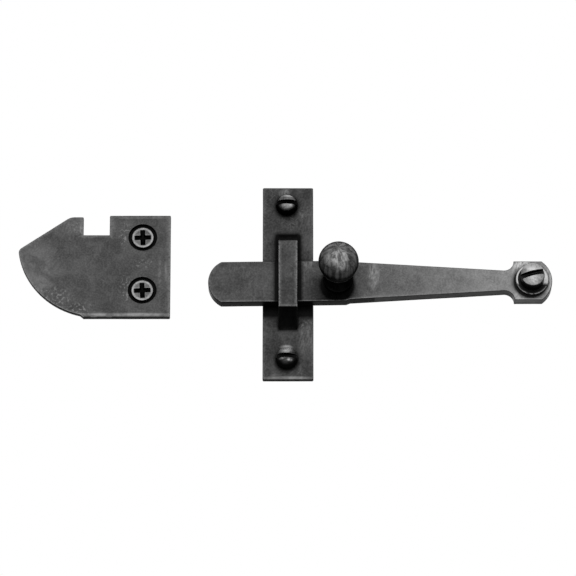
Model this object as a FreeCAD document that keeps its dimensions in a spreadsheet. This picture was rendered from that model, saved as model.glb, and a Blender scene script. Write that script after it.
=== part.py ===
import FreeCAD, Part
import math
import os

import Sketcher

# Drop-bar door latch of black iron: a bar that swings on a screw at its right end, the keeper that guides it,
# and the notched strike that catches its nose. Millimetres, +Z up, +X to the right of someone facing the door.
# The door's face is the plane Y = 0: the ironwork stands out of it towards -Y and the screws go in towards +Y.
# The origin is the middle of the keeper plate's back.

DIMENSIONS = (
    ("plate_wide", 25.4, "keeper plate, across"),
    ("plate_tall", 103.4, "keeper plate, up"),
    ("plate_thick", 3.0, "keeper plate and strike plate, thickness"),
    ("edge_bevel", 0.4, "bevel round the front edges of the plates, the staple and the bar"),
    ("keeper_screw_pitch", 82.6, "between the two keeper screws"),
    ("keeper_screw_middle", 0.7, "height of the middle between the keeper screws"),
    ("keeper_screw_aside", 0.6, "keeper screws, to the left of the plate's middle"),
    ("guide_wide", 9.5, "guide staple, width of the strap"),
    ("guide_thick", 3.0, "guide staple, thickness of the strap"),
    ("guide_stand", 15.0, "door face to the front of the staple"),
    ("guide_top", 18.1, "height of the upper bend of the staple"),
    ("guide_bottom", 16.9, "depth of the lower bend of the staple below the origin"),
    ("foot_top", 25.8, "height of the upper foot of the staple"),
    ("foot_bottom", 25.2, "depth of the lower foot of the staple below the origin"),
    ("tenon_wide", 6.0, "riveted tenon of the staple, across"),
    ("tenon_tall", 2.6, "riveted tenon of the staple, up"),
    ("pivot_across", 121.55, "origin to the pivot, across"),
    ("pivot_drop", 1.4, "origin to the pivot, down"),
    ("spacer_thick", 3.3, "spacer between the door and the bar"),
    ("side_play", 0.2, "gap on each side of the bar at the pivot"),
    ("bar_thick", 6.5, "latch bar, thickness"),
    ("nose_reach", 161.4, "pivot to the tip of the nose"),
    ("nose_half", 11.0, "half the height of the straight end of the bar"),
    ("nose_radius", 12.5, "rounding of the nose"),
    ("nose_drop", 0.8, "how much lower the straight end is at its nose than at its shoulder"),
    ("shoulder_reach", 92.55, "pivot to the small shoulder"),
    ("shoulder_run", 2.0, "length of the slope of the shoulder"),
    ("arm_half_wide", 10.2, "half the height of the arm beside the shoulder"),
    ("arm_half_narrow", 5.5, "half the height of the arm beside the eye"),
    ("eye_half", 10.4, "half the height of the eye"),
    ("eye_back", 9.05, "pivot to the eye's corner on the arm's side"),
    ("eye_front", 4.95, "pivot to the eye's corner on the far side"),
    ("eye_radius", 13.0, "rounding of the far side of the eye"),
    ("bore_radius", 4.06, "hole in the eye"),
    ("knob_reach", 96.6, "pivot to the knob"),
    ("ball_radius", 10.0, "ball of the knob"),
    ("ball_stand", 24.6, "front of the bar to the middle of the ball"),
    ("bead_front", 3.3, "middle of the ball to the front of the bead"),
    ("bead_back", 4.7, "middle of the ball to the back of the bead"),
    ("bead_radius", 0.8, "rounding of the bead"),
    ("neck_top_radius", 6.3, "neck of the knob where it leaves the ball"),
    ("neck_foot_radius", 6.6, "neck of the knob above its foot"),
    ("neck_hollow", 25.0, "radius of the hollow of the neck"),
    ("foot_radius", 7.4, "foot of the knob"),
    ("foot_thick", 2.6, "foot of the knob, thickness"),
    ("knob_tenon_radius", 3.5, "riveted tenon of the knob"),
    ("pivot_radius", 4.0, "shoulder of the pivot screw that the bar turns on"),
    ("washer_radius", 8.15, "washer under the pivot screw's head"),
    ("washer_thick", 1.5, "washer, thickness"),
    ("spacer_radius", 8.0, "spacer behind the eye"),
    ("loose_bore", 4.1, "hole in the washer and the spacer"),
    ("pivot_head_radius", 6.0, "head of the pivot screw"),
    ("pivot_head_side", 6.6, "straight side of the pivot screw's head"),
    ("pivot_head_crown", 1.7, "rise of the crown of the pivot screw's head"),
    ("pivot_slot_wide", 2.1, "slot of the pivot screw, width"),
    ("pivot_slot_deep", 3.4, "slot of the pivot screw, depth"),
    ("pivot_slot_turn", 17.0, "slot of the pivot screw, degrees from level"),
    ("pivot_shank_radius", 3.1, "pivot screw inside the door, smooth part"),
    ("pivot_core_radius", 2.4, "pivot screw inside the door, core of the thread"),
    ("pivot_smooth", 8.0, "pivot screw, length of the smooth part inside the door"),
    ("pivot_deep", 18.0, "pivot screw, whole length inside the door"),
    ("dome_radius", 5.7, "round head of a keeper screw"),
    ("dome_tall", 5.8, "round head of a keeper screw, height"),
    ("dome_slot_wide", 2.0, "slot of a keeper screw, width"),
    ("dome_slot_deep", 2.9, "slot of a keeper screw, depth"),
    ("screw_hole_radius", 3.0, "hole for a screw in the keeper plate"),
    ("screw_neck_radius", 2.9, "screw inside its plate"),
    ("screw_shank_radius", 2.7, "screw inside the door, smooth part"),
    ("screw_core_radius", 2.0, "screw inside the door, core of the thread"),
    ("screw_smooth", 7.0, "screw, length of the smooth part inside the door"),
    ("screw_deep", 22.0, "screw, whole length inside the door"),
    ("screw_point", 5.0, "length of the point of any screw"),
    ("strike_right", 58.75, "origin to the strike's straight edge, to the left"),
    ("strike_drop", 18.45, "origin to the strike's lower edge, down"),
    ("strike_tall", 55.05, "strike plate, up"),
    ("notch_start", 30.75, "strike's straight edge to the notch"),
    ("notch_wide", 13.06, "notch of the strike, width"),
    ("notch_deep", 10.6, "notch of the strike, depth"),
    ("horn_drop", 0.8, "top of the strike beyond the notch, below its top before the notch"),
    ("crest_end", 50.49, "strike's straight edge to the top of the ramp"),
    ("ramp_end", 76.41, "strike's straight edge to the bottom of the ramp"),
    ("ramp_slope", 34.5, "slope of the ramp, degrees"),
    ("belly_radius", 40.55, "round lower side of the strike"),
    ("belly_end", 45.0, "strike's straight edge to the end of the round side"),
    ("belly_rise", 1.48, "height of the end of the round side above the lower edge"),
    ("heel_start", 43.25, "strike's straight edge to the start of the lower edge"),
    ("crest_round", 6.0, "rounding at the top of the ramp"),
    ("tip_round", 4.0, "rounding of the strike's tip"),
    ("strike_screw_across", 14.05, "strike's straight edge to its screws"),
    ("strike_screw_low", 14.6, "strike's lower edge to the lower screw"),
    ("strike_screw_pitch", 28.5, "between the two strike screws"),
    ("recess_radius", 7.1, "round recess about a flat screw head"),
    ("recess_deep", 1.5, "round recess, depth"),
    ("strike_hole_radius", 3.5, "hole for a screw in the strike plate"),
    ("flat_head_radius", 5.5, "flat head of a strike screw"),
    ("flat_head_sink", 0.1, "flat head below the face of the plate"),
    ("flat_head_rim", 0.2, "upright rim of the flat head"),
    ("cross_reach", 4.2, "cross recess, middle to the end of a wing"),
    ("cross_half", 1.2, "cross recess, half the width of a wing"),
    ("cross_deep", 2.2, "cross recess, depth"),
)
SLOT_REACH = 8.0        # half the length of a slot's cutting outline, longer than any head
FULL_TURN = 360.0
NEAR = 1e-4             # two places closer than this are the same place

doc = FreeCAD.newDocument("DropBarLatch")
sheet = doc.addObject("Spreadsheet::Sheet", "Dimensions")


class Size:
    """A number together with the sheet formula that keeps it up to date."""

    def __init__(self, number, formula):
        self.number = number
        self.formula = formula

    def __add__(self, other):
        other = sized(other)
        return Size(self.number + other.number, f"({self.formula} + {other.formula})")

    def __sub__(self, other):
        other = sized(other)
        return Size(self.number - other.number, f"({self.formula} - {other.formula})")

    def __mul__(self, other):
        other = sized(other)
        return Size(self.number * other.number, f"({self.formula} * {other.formula})")

    def __truediv__(self, other):
        other = sized(other)
        return Size(self.number / other.number, f"({self.formula} / {other.formula})")

    def __neg__(self):
        return Size(-self.number, f"(0 - {self.formula})")


def sized(value):
    return value if isinstance(value, Size) else Size(float(value), str(value))


def root(value):
    return Size(math.sqrt(value.number), f"sqrt({value.formula})")


def tangent(degrees):
    return Size(math.tan(math.radians(degrees.number)), f"tan({degrees.formula} * 1 deg)")


def fill_sheet():
    """Write every driving dimension into the sheet and return them by name."""
    sizes = {}
    for row, (alias, number, meaning) in enumerate(DIMENSIONS, start=1):
        sheet.set(f"A{row}", meaning)
        sheet.set(f"B{row}", str(number))
        sheet.setAlias(f"B{row}", alias)
        sizes[alias] = Size(number, f"Dimensions.{alias}")
    doc.recompute()
    return sizes


# ---------------------------------------------------------------- sketches and features

def bind(thing, prop, size):
    """Tie a property to the sheet."""
    size = sized(size)
    thing.setExpression(prop, size.formula)


def new_body(label, across=0.0, out=0.0, up=0.0, turn=None):
    """A sub-part, placed across (+X), out from the door (-Y) and up (+Z), and turned in the plane of the door."""
    body = doc.addObject("PartDesign::Body", label)
    body.Label = label
    bind(body, "Placement.Base.x", across)
    bind(body, "Placement.Base.y", -sized(out))
    bind(body, "Placement.Base.z", up)
    if turn is not None:
        body.Placement.Rotation = FreeCAD.Rotation(FreeCAD.Vector(0, -1, 0), turn.number)
        bind(body, "Placement.Rotation.Angle", turn)
    return body


def new_sketch(body, plane, name, out=0.0):
    """A sketch on one of the body's own planes, moved out along the plane's normal."""
    sketch = body.newObject("Sketcher::SketchObject", f"{body.Name}_{name}")
    flat = next(item for item in body.Origin.OriginFeatures if item.Role == plane)
    sketch.AttachmentSupport = [(flat, "")]
    sketch.MapMode = "FlatFace"
    bind(sketch, "AttachmentOffset.Base.z", out)
    return sketch


def constrain(sketch, kind, size, *where):
    number = sketch.addConstraint(Sketcher.Constraint(kind, *where, size.number))
    sketch.setExpression(f"Constraints[{number}]", size.formula)


def arc_between(start, end, radius):
    """The shorter arc from start to end: it turns left for a positive radius, right for a negative one."""
    chord = end - start
    left = FreeCAD.Vector(-chord.y, chord.x, 0).normalize()
    to_middle = math.sqrt(max(radius * radius - (chord.Length / 2) ** 2, 0.0))
    middle = (start + end) * 0.5 + left * math.copysign(to_middle, radius)
    first, last = (start, end) if radius > 0 else (end, start)
    first_angle = math.atan2(first.y - middle.y, first.x - middle.x)
    last_angle = math.atan2(last.y - middle.y, last.x - middle.x)
    if last_angle < first_angle:
        last_angle += 2 * math.pi
    circle = Part.Circle(middle, FreeCAD.Vector(0, 0, 1), abs(radius))
    return Part.ArcOfCircle(circle, first_angle, last_angle)


def outline(sketch, corners):
    """A closed outline, counterclockwise. A corner is (x, y), or (x, y, radius) where the edge that leaves it is an
    arc: bulging for a positive radius and hollow for a negative one."""
    places = [FreeCAD.Vector(sized(corner[0]).number, sized(corner[1]).number, 0) for corner in corners]
    ends = []
    for number, corner in enumerate(corners):
        start, end = places[number], places[(number + 1) % len(places)]
        if len(corner) == 2:
            edge = sketch.addGeometry(Part.LineSegment(start, end))
            ends.append((edge, 1, 2))
        else:
            edge = sketch.addGeometry(arc_between(start, end, corner[2].number))
            ends.append((edge, 1, 2) if corner[2].number > 0 else (edge, 2, 1))
    for number, corner in enumerate(corners):
        edge, start, _ = ends[number]
        before, _, before_end = ends[number - 1]
        sketch.addConstraint(Sketcher.Constraint("Coincident", before, before_end, edge, start))
        constrain(sketch, "DistanceX", sized(corner[0]), -1, 1, edge, start)
        constrain(sketch, "DistanceY", sized(corner[1]), -1, 1, edge, start)
        if len(corner) == 3:
            radius = corner[2] if corner[2].number > 0 else -corner[2]
            constrain(sketch, "Radius", radius, edge)


def ring(sketch, radius, across=0.0, up=0.0):
    """A circle about a point of the sketch."""
    across, up = sized(across), sized(up)
    middle = FreeCAD.Vector(across.number, up.number, 0)
    circle = sketch.addGeometry(Part.Circle(middle, FreeCAD.Vector(0, 0, 1), radius.number))
    constrain(sketch, "DistanceX", across, -1, 1, circle, 3)
    constrain(sketch, "DistanceY", up, -1, 1, circle, 3)
    constrain(sketch, "Radius", radius, circle)


def box_outline(sketch, wide, tall, up=0.0):
    """A rectangle with its middle on the sketch's vertical axis."""
    half, low, high = wide / 2, sized(up) - tall / 2, sized(up) + tall / 2
    outline(sketch, [(half, low), (half, high), (-half, high), (-half, low)])


def pad(body, sketch, length, both_ways=False):
    feature = body.newObject("PartDesign::Pad", f"{sketch.Name}_pad")
    feature.Profile = sketch
    feature.Midplane = both_ways
    bind(feature, "Length", length)
    return feature


def pocket(body, sketch, length):
    """Cut away from the side that the sketch faces."""
    feature = body.newObject("PartDesign::Pocket", f"{sketch.Name}_pocket")
    feature.Profile = sketch
    bind(feature, "Length", length)
    return feature


def turned(body, corners, name="Profile"):
    """A solid turned about the body's Y axis. A corner is (distance from the axis, place along Y)."""
    sketch = new_sketch(body, "XY_Plane", name)
    outline(sketch, corners)
    feature = body.newObject("PartDesign::Revolution", f"{sketch.Name}_turned")
    feature.Profile = sketch
    feature.ReferenceAxis = (sketch, ["V_Axis"])
    feature.Angle = FULL_TURN
    return feature


def dress(body, kind, size, chosen):
    """Fillet or chamfer those edges of the body's tip that the test chooses."""
    doc.recompute()
    base = body.Tip
    names = [f"Edge{number}" for number, edge in enumerate(base.Shape.Edges, start=1) if chosen(edge)]
    feature = body.newObject(f"PartDesign::{kind}", f"{body.Name}_{kind}")
    feature.Base = (base, names)
    bind(feature, "Radius" if kind == "Fillet" else "Size", size)
    return feature


def lies_at(out):
    """A test for edges in the plane at this distance out from the body's own origin."""
    return lambda edge: all(abs(corner.Point.y + out.number) < NEAR for corner in edge.Vertexes)


def upright_at(across):
    """A test for straight edges square to the door, at this place across the body."""
    return lambda edge: (
        all(abs(corner.Point.x - across.number) < NEAR for corner in edge.Vertexes)
        and abs(edge.Vertexes[0].Point.y - edge.Vertexes[-1].Point.y) > NEAR
    )


# ---------------------------------------------------------------- the keeper

def make_keeper_plate(size):
    """A flat plate with two screw holes and two slots for the staple's tenons."""
    body = new_body("keeper_plate")
    face = new_sketch(body, "XZ_Plane", "Face")
    box_outline(face, size["plate_wide"], size["plate_tall"])
    pad(body, face, size["plate_thick"])
    dress(body, "Chamfer", size["edge_bevel"], lies_at(size["plate_thick"]))
    holes = new_sketch(body, "XZ_Plane", "Holes", size["plate_thick"])
    for height in keeper_screw_heights(size):
        ring(holes, size["screw_hole_radius"], -size["keeper_screw_aside"], height)
    for height in tenon_heights(size):
        box_outline(holes, size["tenon_wide"], size["tenon_tall"], height)
    pocket(body, holes, size["plate_thick"])
    return body


def keeper_screw_heights(size):
    half = size["keeper_screw_pitch"] / 2
    return size["keeper_screw_middle"] + half, size["keeper_screw_middle"] - half


def leg_slope(size, bend, foot):
    """How far a leg of the staple runs up or down for each millimetre out."""
    return (foot - bend) / (size["guide_stand"] - size["plate_thick"])


def leg_depth(size, bend, foot):
    """Thickness of a leg of the staple, measured straight up."""
    slope = leg_slope(size, bend, foot)
    return size["guide_thick"] * root(slope * slope + 1)


def tenon_heights(size):
    """Middles of the two tenons: each is in the middle of its foot."""
    upper = size["foot_top"] - leg_depth(size, size["guide_top"], size["foot_top"]) / 2
    lower = size["foot_bottom"] - leg_depth(size, size["guide_bottom"], size["foot_bottom"]) / 2
    return upper, -lower


def make_guide_staple(size):
    """A strap bent to a flat bridge on two sloping legs, with a tenon at each foot riveted through the plate."""
    body = new_body("guide_staple")
    side = new_sketch(body, "YZ_Plane", "Side")
    plate, front = -size["plate_thick"], -size["guide_stand"]
    inner = front + size["guide_thick"]
    top_slope = leg_slope(size, size["guide_top"], size["foot_top"])
    low_slope = leg_slope(size, size["guide_bottom"], size["foot_bottom"])
    top_foot = size["foot_top"] - leg_depth(size, size["guide_top"], size["foot_top"])
    low_foot = size["foot_bottom"] - leg_depth(size, size["guide_bottom"], size["foot_bottom"])
    inner_run = plate - inner
    outline(side, [
        (front, -size["guide_bottom"]),
        (plate, -size["foot_bottom"]),
        (plate, -low_foot),
        (inner, low_slope * inner_run - low_foot),
        (inner, top_foot - top_slope * inner_run),
        (plate, top_foot),
        (plate, size["foot_top"]),
        (front, size["guide_top"]),
    ])
    pad(body, side, size["guide_wide"], both_ways=True)
    tenons = new_sketch(body, "XZ_Plane", "Tenons")
    for height in tenon_heights(size):
        box_outline(tenons, size["tenon_wide"], size["tenon_tall"], height)
    pad(body, tenons, size["plate_thick"])
    dress(body, "Chamfer", size["edge_bevel"], lies_at(size["guide_stand"]))
    return body


def wood_shank(size, start, neck, shank, core, smooth, deep):
    """Outline of a wood screw from inside its plate to its point, as corners for turned()."""
    taper = shank - core
    return [
        (neck, start),
        (shank, start),
        (shank, start + smooth),
        (core, start + smooth + taper),
        (core, start + deep - size["screw_point"]),
        (0.0, start + deep),
    ]


def cut_slot(body, out, wide, deep):
    """A screwdriver slot across the head, level before the body is turned."""
    slot = new_sketch(body, "XZ_Plane", "Slot", out)
    half = wide / 2
    outline(slot, [
        (SLOT_REACH, -half),
        (SLOT_REACH, half),
        (-SLOT_REACH, half),
        (-SLOT_REACH, -half),
    ])
    return pocket(body, slot, deep)


def make_keeper_screw(size, label, height):
    """A round-headed wood screw with a level slot, seated on the front of the keeper plate."""
    body = new_body(label, -size["keeper_screw_aside"], size["plate_thick"], height)
    radius, tall = size["dome_radius"], size["dome_tall"]
    crown = (radius * radius + tall * tall) / (tall * 2)
    turned(body, [
        (0.0, -tall, crown),
        (radius, 0.0),
        (size["screw_neck_radius"], 0.0),
    ] + wood_shank(size, size["plate_thick"], size["screw_neck_radius"], size["screw_shank_radius"],
                   size["screw_core_radius"], size["screw_smooth"], size["screw_deep"]))
    cut_slot(body, tall, size["dome_slot_wide"], size["dome_slot_deep"])
    return body


# ---------------------------------------------------------------- the bar

def bar_stand(size):
    """Door face to the back of the bar."""
    return size["spacer_thick"] + size["side_play"]


def make_latch_bar(size):
    """A flat bar: an end that droops a little to its round nose, a small shoulder, a tapering arm and an eye."""
    body = new_body("latch_bar", size["pivot_across"], bar_stand(size), -size["pivot_drop"])
    face = new_sketch(body, "XZ_Plane", "Face")
    nose, radius, drop = size["nose_half"], size["nose_radius"], size["nose_drop"]
    nose_corner = size["nose_reach"] - radius + root(radius * radius - nose * nose)
    hollow = size["eye_half"] - size["arm_half_narrow"]
    arm_end = size["eye_back"] + hollow
    shoulder_end = size["shoulder_reach"] - size["shoulder_run"]
    outline(face, [
        (size["eye_front"], -size["eye_half"], size["eye_radius"]),
        (size["eye_front"], size["eye_half"]),
        (-size["eye_back"], size["eye_half"], -hollow),
        (-arm_end, size["arm_half_narrow"]),
        (-shoulder_end, size["arm_half_wide"]),
        (-size["shoulder_reach"], nose),
        (-nose_corner, nose - drop, radius),
        (-nose_corner, -nose - drop),
        (-size["shoulder_reach"], -nose),
        (-shoulder_end, -size["arm_half_wide"]),
        (-arm_end, -size["arm_half_narrow"], -hollow),
        (-size["eye_back"], -size["eye_half"]),
    ])
    pad(body, face, size["bar_thick"])
    dress(body, "Chamfer", size["edge_bevel"], lies_at(size["bar_thick"]))
    holes = new_sketch(body, "XZ_Plane", "Holes", size["bar_thick"])
    ring(holes, size["bore_radius"])
    ring(holes, size["knob_tenon_radius"], across=-size["knob_reach"])
    pocket(body, holes, size["bar_thick"])
    return body


def make_knob(size):
    """A ball with a thin bead behind it, on a hollow neck with a round foot, riveted through the bar."""
    out = bar_stand(size) + size["bar_thick"]
    body = new_body("knob", size["pivot_across"] - size["knob_reach"], out, -size["pivot_drop"])
    ball, middle = size["ball_radius"], size["ball_stand"]

    def ball_width(behind):
        return root(ball * ball - behind * behind)

    neck_start = root(ball * ball - size["neck_top_radius"] * size["neck_top_radius"])
    turned(body, [
        (0.0, -middle - ball, ball),
        (ball_width(size["bead_front"]), size["bead_front"] - middle, size["bead_radius"]),
        (ball_width(size["bead_back"]), size["bead_back"] - middle, ball),
        (size["neck_top_radius"], neck_start - middle, -size["neck_hollow"]),
        (size["neck_foot_radius"], -size["foot_thick"]),
        (size["foot_radius"], -size["foot_thick"]),
        (size["foot_radius"], 0.0),
        (size["knob_tenon_radius"], 0.0),
        (size["knob_tenon_radius"], size["bar_thick"]),
        (0.0, size["bar_thick"]),
    ])
    return body


# ---------------------------------------------------------------- the pivot

def make_disc(size, label, radius, thick, out):
    """A flat ring about the pivot, from out towards the room."""
    body = new_body(label, size["pivot_across"], out, -size["pivot_drop"])
    face = new_sketch(body, "XZ_Plane", "Face")
    ring(face, radius)
    ring(face, size["loose_bore"])
    pad(body, face, thick)
    return body


def washer_stand(size):
    """Door face to the back of the washer."""
    return bar_stand(size) + size["bar_thick"] + size["side_play"]


def make_pivot_screw(size):
    """A slotted screw with a tall head and a smooth shoulder, which the bar turns on."""
    seat = washer_stand(size) + size["washer_thick"]
    body = new_body("pivot_screw", size["pivot_across"], seat, -size["pivot_drop"], size["pivot_slot_turn"])
    radius, side, crown = size["pivot_head_radius"], size["pivot_head_side"], size["pivot_head_crown"]
    crown_radius = (radius * radius + crown * crown) / (crown * 2)
    turned(body, [
        (0.0, -side - crown, crown_radius),
        (radius, -side),
        (radius, 0.0),
        (size["pivot_radius"], 0.0),
    ] + wood_shank(size, seat, size["pivot_radius"], size["pivot_shank_radius"],
                   size["pivot_core_radius"], size["pivot_smooth"], size["pivot_deep"]))
    cut_slot(body, side + crown, size["pivot_slot_wide"], size["pivot_slot_deep"])
    return body


# ---------------------------------------------------------------- the strike

def strike_screw_heights(size):
    lower = size["strike_screw_low"] - size["strike_drop"]
    return lower + size["strike_screw_pitch"], lower


def make_strike_plate(size):
    """A plate with a ramp, a round lower side and a notch that catches the bar, and two recessed screw holes."""
    body = new_body("strike_plate", -size["strike_right"], 0.0, -size["strike_drop"])
    face = new_sketch(body, "XZ_Plane", "Face")
    tall, notch_floor = size["strike_tall"], size["strike_tall"] - size["notch_deep"]
    notch_end = size["notch_start"] + size["notch_wide"]
    horn = tall - size["horn_drop"]
    ramp_foot = horn - (size["ramp_end"] - size["crest_end"]) * tangent(size["ramp_slope"])
    outline(face, [
        (0.0, 0.0),
        (0.0, tall),
        (-size["notch_start"], tall),
        (-size["notch_start"], notch_floor),
        (-notch_end, notch_floor),
        (-notch_end, horn),
        (-size["crest_end"], horn),
        (-size["ramp_end"], ramp_foot, size["belly_radius"]),
        (-size["belly_end"], size["belly_rise"]),
        (-size["heel_start"], 0.0),
    ])
    pad(body, face, size["plate_thick"])
    dress(body, "Fillet", size["crest_round"], upright_at(-size["crest_end"]))
    dress(body, "Fillet", size["tip_round"], upright_at(-size["ramp_end"]))
    dress(body, "Chamfer", size["edge_bevel"], lies_at(size["plate_thick"]))
    for number, height in enumerate(strike_screw_heights(size), start=1):
        up = height + size["strike_drop"]
        recess = new_sketch(body, "XZ_Plane", f"Recess{number}", size["plate_thick"])
        ring(recess, size["recess_radius"], -size["strike_screw_across"], up)
        pocket(body, recess, size["recess_deep"])
        hole = new_sketch(body, "XZ_Plane", f"Hole{number}", size["plate_thick"])
        ring(hole, size["strike_hole_radius"], -size["strike_screw_across"], up)
        pocket(body, hole, size["plate_thick"])
    recess_floor = size["plate_thick"] - size["recess_deep"]
    seat = seat_radius(size) - size["strike_hole_radius"]

    def on_hole_rim(edge):
        round_edge = isinstance(edge.Curve, Part.Circle)
        if not round_edge or not lies_at(recess_floor)(edge):
            return False
        return abs(edge.Curve.Radius - size["strike_hole_radius"].number) < NEAR

    dress(body, "Chamfer", seat, on_hole_rim)
    return body


def seat_radius(size):
    """Radius of the flat head's square cone at the floor of its recess."""
    return size["flat_head_radius"] + size["flat_head_sink"] + size["flat_head_rim"] - size["recess_deep"]


def make_strike_screw(size, label, height):
    """A flat-headed wood screw with a cross recess, sunk level with the strike plate."""
    body = new_body(label, -size["strike_right"] - size["strike_screw_across"], size["plate_thick"], height)
    head, neck = size["flat_head_radius"], size["screw_neck_radius"]
    top = size["flat_head_sink"]
    rim = top + size["flat_head_rim"]
    turned(body, [
        (0.0, top),
        (head, top),
        (head, rim),
        (neck, rim + head - neck),
    ] + wood_shank(size, size["plate_thick"], neck, size["screw_shank_radius"],
                   size["screw_core_radius"], size["screw_smooth"], size["screw_deep"]))
    cross = new_sketch(body, "XZ_Plane", "Cross", -top)
    reach, half = size["cross_reach"], size["cross_half"]
    outline(cross, [
        (reach, -half), (reach, half), (half, half), (half, reach), (-half, reach), (-half, half),
        (-reach, half), (-reach, -half), (-half, -half), (-half, -reach), (half, -reach), (half, -half),
    ])
    pocket(body, cross, size["cross_deep"])
    return body


# ---------------------------------------------------------------- the whole latch

def make_latch(size):
    top_screw, low_screw = keeper_screw_heights(size)
    upper_strike_screw, lower_strike_screw = strike_screw_heights(size)
    return [
        make_keeper_plate(size),
        make_guide_staple(size),
        make_keeper_screw(size, "keeper_screw_top", top_screw),
        make_keeper_screw(size, "keeper_screw_bottom", low_screw),
        make_latch_bar(size),
        make_knob(size),
        make_disc(size, "pivot_spacer", size["spacer_radius"], size["spacer_thick"], sized(0.0)),
        make_disc(size, "pivot_washer", size["washer_radius"], size["washer_thick"], washer_stand(size)),
        make_pivot_screw(size),
        make_strike_plate(size),
        make_strike_screw(size, "strike_screw_upper", upper_strike_screw),
        make_strike_screw(size, "strike_screw_lower", lower_strike_screw),
    ]


def check_document():
    for thing in doc.Objects:
        if "Invalid" in thing.State or "Error" in thing.State:
            raise RuntimeError(f"{thing.Label} failed: {thing.State}")


def check_cuts(bodies):
    """Every pocket has to take something away, and every shape has to be one sound solid."""
    for body in bodies:
        if body.Shape.isNull() or not body.Shape.isValid() or len(body.Shape.Solids) != 1:
            raise RuntimeError(f"{body.Label} is not one sound solid")
        for feature in body.Group:
            if feature.TypeId != "PartDesign::Pocket":
                continue
            if feature.Shape.Volume > feature.BaseFeature.Shape.Volume - NEAR:
                raise RuntimeError(f"{feature.Label} cuts nothing")


def main():
    bodies = make_latch(fill_sheet())
    doc.recompute()
    check_document()
    check_cuts(bodies)
    os.makedirs("parts", exist_ok=True)
    for body in bodies:
        body.Shape.exportStep(f"parts/{body.Label}.step")
        box = body.Shape.BoundBox
        print(f"{body.Label:20s} {body.Shape.Volume:9.1f} mm3  x {box.XMin:8.2f} {box.XMax:8.2f}"
              f"  y {box.YMin:7.2f} {box.YMax:7.2f}  z {box.ZMin:7.2f} {box.ZMax:7.2f}")


main()
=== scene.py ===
import math

import bmesh
import bpy
from mathutils import Matrix, Vector, noise


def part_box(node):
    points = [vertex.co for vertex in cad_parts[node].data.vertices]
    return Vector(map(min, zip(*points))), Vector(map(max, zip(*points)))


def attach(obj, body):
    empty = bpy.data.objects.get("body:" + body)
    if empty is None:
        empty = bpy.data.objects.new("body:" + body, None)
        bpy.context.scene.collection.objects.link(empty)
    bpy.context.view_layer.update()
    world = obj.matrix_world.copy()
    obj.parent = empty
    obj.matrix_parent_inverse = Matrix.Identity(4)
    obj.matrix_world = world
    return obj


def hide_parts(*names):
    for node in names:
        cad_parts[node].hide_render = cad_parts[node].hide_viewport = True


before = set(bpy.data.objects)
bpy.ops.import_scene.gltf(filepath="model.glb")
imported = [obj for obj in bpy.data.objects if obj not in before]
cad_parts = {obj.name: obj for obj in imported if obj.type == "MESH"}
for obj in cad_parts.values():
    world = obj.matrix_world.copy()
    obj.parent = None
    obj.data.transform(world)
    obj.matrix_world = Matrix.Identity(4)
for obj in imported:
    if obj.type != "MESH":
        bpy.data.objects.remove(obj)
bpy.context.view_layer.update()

# Shapes are worked out in millimetres in the frame's own axes (+X right, -Y out of the door, +Z up)
# and become metres when a piece is made.
MM = 0.001
METRE = 1000.0

PHOTO_ELEVATION = -22.0       # degrees: the camera looks up at the latch
CAMERA_DISTANCE = 2.4         # metres
CAMERA_SENSOR = 36.0          # millimetres
CAMERA_LENS = 300.0           # millimetres: the picture is 0.288 m across at that distance
CAMERA_AIM_DROP = 1.5         # millimetres below the origin

SOFT_LIGHT_ELEVATION = -8.0   # degrees: where the middle of the soft light in front stands
SOFT_LIGHT = 1.0              # its strength
FILL_LIGHT_ELEVATION = 170.0  # degrees, measured over the top: 10 above the horizon behind
FILL_LIGHT = 0.36
SKY_LIGHT = 0.3
LIGHT_EDGE = -0.09            # cosine of the angle from the middle of a light at which it has faded away
FLOOR_DROP = 3.0              # metres below the origin, out of the picture

SHADE_BLACK = 0.004                 # the grey of the painted shade in slots, corners and under things
FULL_PAINTED_SHADE = 0.97              # the most that painted shade covers a surface outside slots and recesses
SHADE_REACH = 5.0                   # millimetres: how near other metal has to be for shade to be painted on a surface
SHARP_EDGE = 50.0             # degrees: an edge that turns more than this is shaded sharp
HEAD_CELL = 0.16              # millimetres: the cells of which a screw's worn head is made

# Screws, in millimetres: how far the shank reaches up into the head, its smooth length below the surface, the
# radii of the shank and of the thread's core, the pitch, and the length of the point.
WOOD_THREAD = {"bury": 0.6, "smooth": 7.0, "shank": 2.7, "core": 1.95, "pitch": 2.3, "point": 5.0}
PIVOT_THREAD = {"bury": 0.6, "smooth": 8.0, "shank": 3.1, "core": 2.3, "pitch": 2.5, "point": 5.5}


# -------- outlines

def arc_points(middle, radius, start, end, step=6.0):
    """Points along an arc, angles in degrees, both ends included."""
    count = max(2, math.ceil(abs(end - start) / step))
    angles = [math.radians(start + (end - start) * n / count) for n in range(count + 1)]
    return [(middle[0] + radius * math.cos(a), middle[1] + radius * math.sin(a)) for a in angles]


def circle_points(middle, radius):
    """A whole circle of 36 points."""
    return arc_points(middle, radius, 360, 10, 10)


def bulge_points(start, end, radius, step=3.0):
    """Points from start to end along the shorter arc, which turns left for a positive radius and right for a
    negative one."""
    a, b = Vector(start), Vector(end)
    chord = b - a
    left = Vector((-chord.y, chord.x)).normalized()
    reach = math.sqrt(max(radius * radius - chord.length_squared / 4, 0.0))
    middle = (a + b) / 2 + left * math.copysign(reach, radius)
    first = math.degrees(math.atan2(a.y - middle.y, a.x - middle.x))
    last = math.degrees(math.atan2(b.y - middle.y, b.x - middle.x))
    if radius > 0 and last < first:
        last += 360
    if radius < 0 and last > first:
        last -= 360
    return arc_points(middle, abs(radius), first, last, step)


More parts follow.
